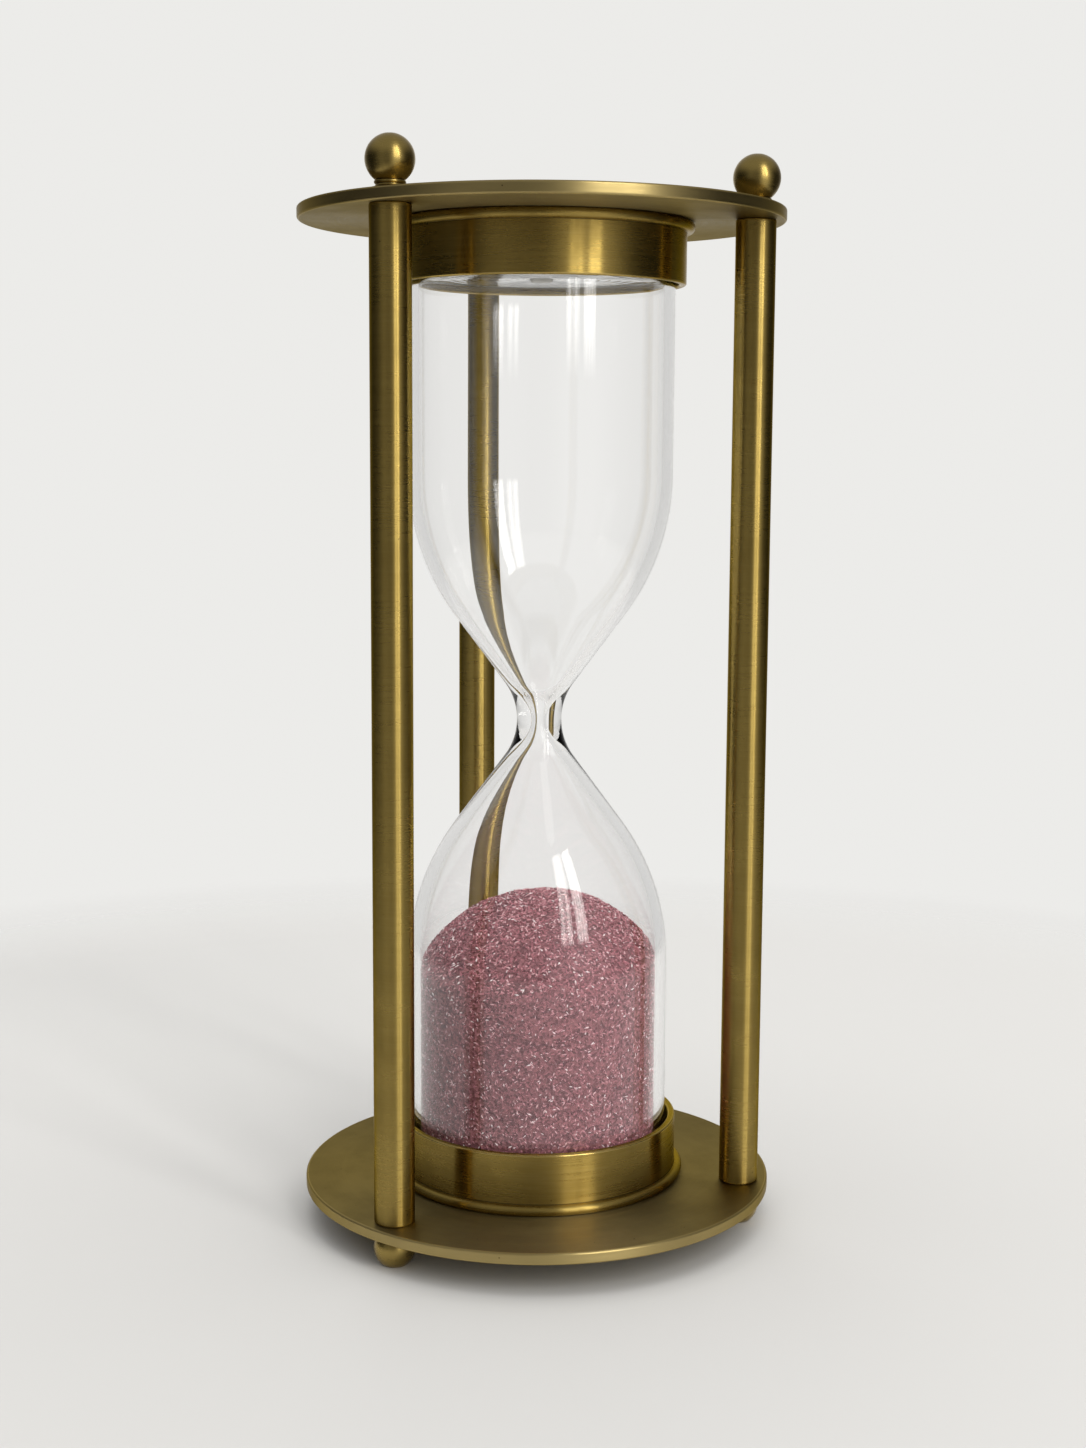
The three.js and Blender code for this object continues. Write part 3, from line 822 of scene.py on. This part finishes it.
def glass():
    """Both bulbs in one piece: up the outside, then down the inside from the filling hole."""
    outer = bulb_side(WAIST_RADIUS, 0) + bulb_end(GLASS_RADIUS, GLASS_HALF_LENGTH, END_CORNER)
    inner = bulb_side(BORE_RADIUS, GLASS_WALL) + bulb_end(GLASS_BORE, INNER_HALF_LENGTH, INNER_CORNER)
    outer_end = (GLASS_RADIUS - END_CORNER, GLASS_HALF_LENGTH)
    inner_end = (GLASS_BORE - INNER_CORNER, INNER_HALF_LENGTH)
    outer_top = end_face(outer_end[0], FILL_HOLE_RADIUS, outer_end[1])
    inner_top = end_face(inner_end[0], FILL_HOLE_RADIUS, inner_end[1])
    outer_bottom = end_face(outer_end[0], 0, outer_end[1])
    inner_bottom = end_face(inner_end[0], 0, inner_end[1])
    outline = mirrored(outer + outer_bottom) + outer[1:] + outer_top
    outline += reversed(inner + inner_top)
    outline += [(radius, -height) for radius, height in (inner + inner_bottom)[1:]]
    piece = turned("glass_bulb_blown", outline, GLASS_SEGMENTS, blown)
    clear = blown_glass("blown glass")
    finished(piece, "glass_bulb", "glass", clear, at=(0, 0, WAIST), weighted=False)


def stopper():
    """A rubber plug in the filling hole, with a flat head on the glass."""
    plug = FILL_HOLE_RADIUS - STOPPER_CLEARANCE
    end = -GLASS_WALL - STOPPER_PAST_GLASS
    outline = [
        (0, end),
        (plug - STOPPER_TAPER, end),
        (plug, -GLASS_WALL),
        (plug, 0),
        (STOPPER_HEAD_RADIUS, 0),
        (STOPPER_HEAD_RADIUS, STOPPER_HEAD_HEIGHT),
        (0, STOPPER_HEAD_HEIGHT),
    ]
    soft = softened(outline, STOPPER_EDGE, steps=5)
    piece = turned("glass_stopper_rubber", soft, STOPPER_SEGMENTS)
    finished(piece, "glass_stopper", "stopper", rubber("stopper rubber"), at=(0, 0, GLASS_TOP))


CUSHION_STEPS = 24
CUSHION_EDGE_STEPS = 6


def cushion(node, recess_radius, recess_depth, cloth):
    """A felt disc with soft edges and a slightly uneven face."""
    low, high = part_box(node)
    thickness = high.z - low.z
    rim = CUSHION_EDGE
    face = CUSHION_RADIUS - rim
    recess = [(0, recess_depth), (recess_radius, recess_depth), (recess_radius, 0)]
    steps = range(1, CUSHION_STEPS)
    below = [(recess_radius + (face - recess_radius) * i / CUSHION_STEPS, 0) for i in steps]
    above = [(face * (1 - i / CUSHION_STEPS), thickness) for i in steps]
    outline = recess if recess_depth > 0 else [(0, 0)]
    outline += below
    outline += arc(face, rim, rim, -math.pi / 2, 0, CUSHION_EDGE_STEPS)
    outline += arc(face, thickness - rim, rim, 0, math.pi / 2, CUSHION_EDGE_STEPS)
    outline += above
    outline += [(0, thickness)]

    def uneven(radius, height, angle):
        at = Vector((radius * math.cos(angle), radius * math.sin(angle), height))
        dent = abs(noise.noise(at / FELT_DENT_SPACING)) * FELT_DENT
        if height == 0:
            return radius, dent
        if height == thickness:
            return radius, height - dent
        return radius - dent, height

    piece = turned(f"{node}_felt", outline, CUSHION_SEGMENTS, uneven)
    finished(piece, node, "cushions", cloth, at=(0, 0, low.z), weighted=False)


glass()
stopper()
grey_felt = felt("grey felt")
cushion("lower_cushion", recess_radius=0, recess_depth=0, cloth=grey_felt)
cushion(
    "upper_cushion",
    recess_radius=STOPPER_HEAD_RADIUS + STOPPER_HEAD_CLEARANCE,
    recess_depth=STOPPER_HEAD_HEIGHT + STOPPER_HEAD_CLEARANCE,
    cloth=grey_felt,
)

# ------------------------------------------------------------------ the camera's direction

CAMERA_AZIMUTH = math.radians(10.77)
TO_CAMERA = Vector((math.sin(CAMERA_AZIMUTH), -math.cos(CAMERA_AZIMUTH), 0))
TO_RIGHT = Vector((math.cos(CAMERA_AZIMUTH), math.sin(CAMERA_AZIMUTH), 0))

# ------------------------------------------------------------------ the sand

HEAP_EDGE = 68.8 * MM  # mean height of the sand at the glass
HEAP_TILT = 4.4 * MM  # how much lower it is than the mean on its low side
HEAP_HEIGHT = 13.6 * MM
HEAP_POWER = 2.7  # 1 is a cone, 2 is a round dome, more has a flatter top
HEAP_UNEVENNESS = 0.35 * MM
UNEVENNESS_SPACING = 6 * MM
UNEVENNESS_SLICE = 3 * MM  # height at which the unevenness is cut from the noise
LOW_SIDE_FROM_CAMERA = math.radians(18)
HEAP_LOW_SIDE = math.atan2(TO_CAMERA.y, TO_CAMERA.x) - LOW_SIDE_FROM_CAMERA

SAND_CORNER_STEPS = 5
SAND_WALL_STEPS = 30
SAND_HEAP_STEPS = 40

# Loose grains: long octahedra that lie on the heap and along the glass
GRAIN_HALF_LENGTH = (0.42 * MM, 0.8 * MM)
GRAIN_HALF_WIDTH = (0.17 * MM, 0.26 * MM)
GRAIN_THICKNESS = (0.7, 0.95)  # of its width
GRAIN_SKEW = 0.3  # of its length
GRAIN_FACES = ((0, 2, 4), (2, 1, 4), (1, 3, 4), (3, 0, 4), (2, 0, 5), (1, 2, 5), (3, 1, 5), (0, 3, 5))
HEAP_GRAINS = 8500
WALL_GRAINS = 16000
HEAP_GRAIN_TILT = 0.7
WALL_GRAIN_TILT = 0.12
HEAP_GRAIN_RISE = (-0.1, 0.3)  # millimetres above the heap's surface
WALL_GRAIN_INSET = (0.02, 0.2)  # millimetres inside the sand's wall
HEAP_GRAIN_CLEARANCE = 0.3 * MM  # to the sand's wall
WALL_GRAINS_BELOW_LIP = 2 * MM  # the collar hides the wall further down
WALL_GRAINS_ABOVE_HEAP = 0.1 * MM
SLOPE_STEP = 0.5 * MM

# How much of the sand takes each tone, from plum to quartz
HEAP_SHARES = (0.28, 0.36, 0.22, 0.1, 0.04)
WALL_SHARES = (0.16, 0.3, 0.29, 0.17, 0.08)


def heap_surface(radius, angle):
    """Height of the sand's top, which is a rounded heap that leans a little."""
    share = radius / SAND_RADIUS
    x = radius * math.cos(angle)
    y = radius * math.sin(angle)
    lean = -HEAP_TILT * share * math.cos(angle - HEAP_LOW_SIDE)
    rough = HEAP_UNEVENNESS * noise.noise(Vector((x, y, UNEVENNESS_SLICE)) / UNEVENNESS_SPACING)
    return HEAP_EDGE + lean + HEAP_HEIGHT * (1 - share**HEAP_POWER) + rough


def sand_body():
    """The sand as one solid. It is turned with a level top, and then lifted to the heap's surface."""
    wall_foot = SAND_BOTTOM + SAND_CORNER
    level = HEAP_EDGE
    outline = [(0, SAND_BOTTOM)]
    outline += arc(
        SAND_RADIUS - SAND_CORNER, wall_foot, SAND_CORNER, -math.pi / 2, 0, SAND_CORNER_STEPS
    )
    for i in range(1, SAND_WALL_STEPS):
        outline.append((SAND_RADIUS, wall_foot + (level - wall_foot) * i / SAND_WALL_STEPS))
    for i in range(SAND_HEAP_STEPS + 1):
        outline.append((SAND_RADIUS * (1 - i / SAND_HEAP_STEPS), level))

    def lifted(radius, height, angle):
        if height <= wall_foot:
            return radius, height
        share = (height - wall_foot) / (level - wall_foot)
        return radius, wall_foot + share * (heap_surface(radius, angle) - wall_foot)

    piece = turned("sand_body", outline, SAND_SEGMENTS, lifted)
    finished(piece, "sand", "sand", packed_sand("packed sand"), weighted=False)


def grain_frame(normal, tilt):
    """Random directions of a grain's length, width and thickness, for a grain that lies on a surface."""
    side = normal.orthogonal().normalized()
    along = Matrix.Rotation(random.uniform(0, math.pi), 3, normal) @ side
    across = normal.cross(along)
    lean = Matrix.Rotation(random.uniform(-tilt, tilt), 3, across)
    along = lean @ along
    return along, across, along.cross(across)


def grains(name, count, spot, tilt, shares):
    """Loose grains as one mesh. spot() gives a random point and its normal.

    tilt is how far a grain may lean, and shares are how much of the sand takes each tone."""
    vertices = []
    faces = []
    tones = []
    for _ in range(count):
        point, normal = spot()
        along, across, thick = grain_frame(normal, tilt)
        length = random.uniform(*GRAIN_HALF_LENGTH)
        width = random.uniform(*GRAIN_HALF_WIDTH)
        depth = width * random.uniform(*GRAIN_THICKNESS)
        skew = along * length * random.uniform(-GRAIN_SKEW, GRAIN_SKEW)
        first = len(vertices)
        vertices += [
            point + along * length,
            point - along * length,
            point + across * width + skew,
            point - across * width + skew,
            point + thick * depth - skew,
            point - thick * depth - skew,
        ]
        faces += [tuple(first + corner for corner in face) for face in GRAIN_FACES]
        tones += random.choices(range(len(shares)), shares) * len(GRAIN_FACES)
    mesh = bpy.data.meshes.new(name)
    mesh.from_pydata([tuple(vertex) for vertex in vertices], [], faces)
    mesh.polygons.foreach_set("material_index", tones)
    mesh.update()
    return linked(name, mesh)


def heap_spot():
    """A random point on the heap. Some grains are sunk a little, and more of them stand proud."""
    radius = (SAND_RADIUS - HEAP_GRAIN_CLEARANCE) * math.sqrt(random.random())
    angle = random.uniform(0, 2 * math.pi)
    height = heap_surface(radius, angle)
    slope = (heap_surface(radius + SLOPE_STEP, angle) - height) / SLOPE_STEP
    out = Vector((math.cos(angle), math.sin(angle), 0))
    normal = (Vector((0, 0, 1)) - out * slope).normalized()
    point = out * radius + Vector((0, 0, height)) + normal * random.uniform(*HEAP_GRAIN_RISE) * MM
    return point, normal


def wall_spot():
    """A random point just inside the sand's wall, from a little below the collar's lip upwards."""
    angle = random.uniform(0, 2 * math.pi)
    low = LOWER_SEAT + COLLAR_HEIGHT - WALL_GRAINS_BELOW_LIP
    high = heap_surface(SAND_RADIUS, angle) + WALL_GRAINS_ABOVE_HEAP
    height = random.uniform(low, high)
    out = Vector((math.cos(angle), math.sin(angle), 0))
    radius = SAND_RADIUS - random.uniform(*WALL_GRAIN_INSET) * MM
    return out * radius + Vector((0, 0, height)), out


sand_body()
GRAIN_TONES = (
    grain("sand plum", (0.17, 0.038, 0.05, 1), 0.5),
    grain("sand mauve", (0.39, 0.128, 0.16, 1), 0.45),
    grain("sand rose", (0.53, 0.235, 0.27, 1), 0.4),
    grain("sand pale", (0.7, 0.45, 0.48, 1), 0.35),
    grain("sand quartz", (0.88, 0.78, 0.8, 1), 0.18),
)
heap = grains("sand_heap_grains", HEAP_GRAINS, heap_spot, HEAP_GRAIN_TILT, HEAP_SHARES)
finished(heap, "sand", "sand", *GRAIN_TONES, weighted=False)
wall = grains("sand_wall_grains", WALL_GRAINS, wall_spot, WALL_GRAIN_TILT, WALL_SHARES)
finished(wall, "sand", "sand", *GRAIN_TONES, weighted=False)

# ------------------------------------------------------------------ the floor

FLOOR_RADIUS = 0.45
FLOOR_FADE = (0.3, 0.43)  # distances from the object at which it starts and ends
FLOOR_SEGMENTS = 96
FLOOR_COLOUR = (0.655, 0.65, 0.64, 1)
BACKDROP = (0.84, 0.835, 0.815, 1)


def floor():
    """A plain pale floor that fades into the backdrop."""
    mesh = bpy.data.meshes.new("floor")
    edge = []
    for i in range(FLOOR_SEGMENTS):
        angle = 2 * math.pi * i / FLOOR_SEGMENTS
        edge.append((FLOOR_RADIUS * math.cos(angle), FLOOR_RADIUS * math.sin(angle), 0))
    mesh.from_pydata(edge, [], [tuple(range(FLOOR_SEGMENTS))])
    made, nodes = material("pale floor")
    fade = nodes.ranged(nodes.length(nodes.place()), *FLOOR_FADE, smooth=True)
    cloth = nodes.add("ShaderNodeBsdfDiffuse", {"Color": FLOOR_COLOUR})
    clear = nodes.add("ShaderNodeBsdfTransparent")
    nodes.surface(nodes.mixed_shaders(fade, cloth, clear))
    mesh.materials.append(made)
    linked("floor", mesh)


# ------------------------------------------------------------------ the light

# The room's brightness at each azimuth, in degrees from the camera, positive to its right
ROOM = (
    (-180, 0.9),
    (-166, 0.86),
    (-150, 0.42),
    (-134, 0.2),
    (-114, 0.03),
    (-85, 0.02),
    (-62, 0.05),
    (-38, 0.28),
    (-20, 0.2),
    (0, 0.16),
    (10, 0.3),
    (22, 0.85),
    (46, 0.95),
    (58, 0.5),
    (72, 0.12),
    (86, 0.03),
    (118, 0.03),
    (138, 0.18),
    (152, 0.42),
    (166, 0.86),
    (180, 0.9),
)
ROOM_TINT = (1, 0.99, 0.97)
CEILING_FROM = (0.25, 0.75)  # sine of the elevations between which the walls become ceiling
CEILING_LIGHT = (0.8, 0.8, 0.8, 1)  # what it casts on matt surfaces
CEILING_SHEEN = (0.42, 0.42, 0.42, 1)  # what brass and glass reflect of it
BACKDROP_THROUGH_GLASS = 0.8  # how much of the room, seen through glass, is the backdrop

# Two tall windows of two panes each: degrees right of the camera, width in metres, radiance
PANES = {
    "left_inner": (24.3, 0.16, 4.4),
    "left_outer": (30.2, 0.16, 4.8),
    "right_inner": (39.6, 0.13, 7.5),
    "right_outer": (44.6, 0.14, 7.5),
}
WINDOW_DISTANCE = 2.2
WINDOW_ELEVATION = 27
WINDOW_HEIGHT = 1.9
PANEL_FADE = 0.06  # share of a panel's height over which it dims to its lower edge
PANEL_COLOUR = (1.0, 0.985, 0.95)
CEILING_PLACE = Vector((0.1, 0.3, 2.2))
CEILING_SIZE = 2.4
CEILING_RADIANCE = 1.55


def walls(nodes, direction):
    """Colour of the room's walls in a direction, from ROOM."""
    angle = nodes.math("ARCTAN2", nodes.dot(direction, TO_RIGHT), nodes.dot(direction, TO_CAMERA))
    ramp = nodes.add("ShaderNodeValToRGB", {0: nodes.ranged(angle, -math.pi, math.pi)})
    ramp.color_ramp.interpolation = "B_SPLINE"
    stops = ramp.color_ramp.elements
    stops.remove(stops[1])
    for degrees, brightness in ROOM:
        position = (degrees + 180) / 360
        stop = stops.new(position) if position > 0 else stops[0]
        stop.position = position
        stop.color = (*(brightness * tint for tint in ROOM_TINT), 1)
    return ramp.outputs["Color"]


def room():
    """A soft room: bright behind the object, darker at its sides and round the camera."""
    world = bpy.data.worlds.new("room")
    bpy.context.scene.world = world
    world.use_nodes = True
    nodes = Nodes(world.node_tree)
    direction = nodes.add("ShaderNodeTexCoord").outputs["Generated"]
    height = nodes.add("ShaderNodeSeparateXYZ", {0: direction}).outputs["Z"]
    path = nodes.add("ShaderNodeLightPath").outputs
    ceiling = nodes.mixed(path["Is Diffuse Ray"], CEILING_SHEEN, CEILING_LIGHT)
    overhead = nodes.ranged(height, *CEILING_FROM, smooth=True)
    colour = nodes.mixed(overhead, walls(nodes, direction), ceiling)
    through_glass = nodes.math("MULTIPLY", path["Is Transmission Ray"], BACKDROP_THROUGH_GLASS)
    colour = nodes.mixed(through_glass, colour, BACKDROP)
    colour = nodes.mixed(path["Is Camera Ray"], colour, BACKDROP)
    light = nodes.add("ShaderNodeBackground", {"Color": colour, "Strength": 1.0})
    nodes.add("ShaderNodeOutputWorld", {"Surface": light.outputs[0]})


def towards(degrees, elevation, distance):
    """A place seen from the glass, in degrees right of the camera and above the waist."""
    turn = math.radians(degrees)
    rise = math.radians(elevation)
    flat = TO_CAMERA * math.cos(turn) + TO_RIGHT * math.sin(turn)
    return flat * distance * math.cos(rise) + Vector((0, 0, distance * math.sin(rise) + WAIST))


def panel(name, place, width, height, radiance):
    """A soft light panel that faces the waist of the glass, unseen by the camera."""
    lamp = bpy.data.lights.new(name, "AREA")
    lamp.shape = "RECTANGLE"
    lamp.size = width
    lamp.size_y = height
    lamp.energy = radiance * width * height * math.pi
    lamp.color = PANEL_COLOUR
    lamp.use_nodes = True
    nodes = Nodes(lamp.node_tree)
    across_panel = nodes.add("ShaderNodeNewGeometry").outputs["Parametric"]
    up = nodes.add("ShaderNodeSeparateXYZ", {0: across_panel}).outputs["Y"]
    glow = nodes.add("ShaderNodeEmission", {"Strength": nodes.ranged(up, 0.0, PANEL_FADE)})
    nodes.add("ShaderNodeOutputLight", {"Surface": glow.outputs[0]})
    piece = linked(name, lamp)
    piece.location = place
    piece.rotation_mode = "QUATERNION"
    piece.rotation_quaternion = (place - Vector((0, 0, WAIST))).to_track_quat("Z", "Y")
    piece.visible_camera = False
    return piece


floor()
room()
for pane, (degrees, width, radiance) in PANES.items():
    place = towards(degrees, WINDOW_ELEVATION, WINDOW_DISTANCE)
    panel(f"{pane}_pane", place, width, WINDOW_HEIGHT, radiance)
ceiling_panel = panel("ceiling", CEILING_PLACE, CEILING_SIZE, CEILING_SIZE, CEILING_RADIANCE)
ceiling_panel.visible_glossy = False

# ------------------------------------------------------------------ the camera

CAMERA_DISTANCE = 523.2 * MM
CAMERA_HEIGHT = 201.1 * MM
CAMERA_PITCH = math.radians(7.8)
CAMERA_ROLL = math.radians(0.323)
CAMERA_YAW = math.radians(0.11)
FOCAL_LENGTH = 50.74  # of a lens in front of a 36 mm sensor
SENSOR_WIDTH = 36


def camera():
    """A camera above the waist of the glass, aimed a little to one side of it and rolled a little."""
    data = bpy.data.cameras.new("camera")
    data.sensor_width = SENSOR_WIDTH
    data.lens = FOCAL_LENGTH
    data.clip_start = 0.01
    data.clip_end = 50
    piece = linked("camera", data)
    heading = CAMERA_AZIMUTH - CAMERA_YAW
    level = Vector((-math.sin(heading), math.cos(heading), 0))
    forward = level * math.cos(CAMERA_PITCH) - Vector((0, 0, math.sin(CAMERA_PITCH)))
    right = Vector((math.cos(heading), math.sin(heading), 0))
    up = right.cross(forward)
    rolled_right = right * math.cos(CAMERA_ROLL) + up * math.sin(CAMERA_ROLL)
    rolled_up = up * math.cos(CAMERA_ROLL) - right * math.sin(CAMERA_ROLL)
    turn = Matrix((rolled_right, rolled_up, -forward)).transposed().to_4x4()
    place = TO_CAMERA * CAMERA_DISTANCE + Vector((0, 0, CAMERA_HEIGHT))
    piece.matrix_world = Matrix.Translation(place) @ turn
    bpy.context.scene.camera = piece


camera()
bpy.context.scene.view_settings.view_transform = "Standard"
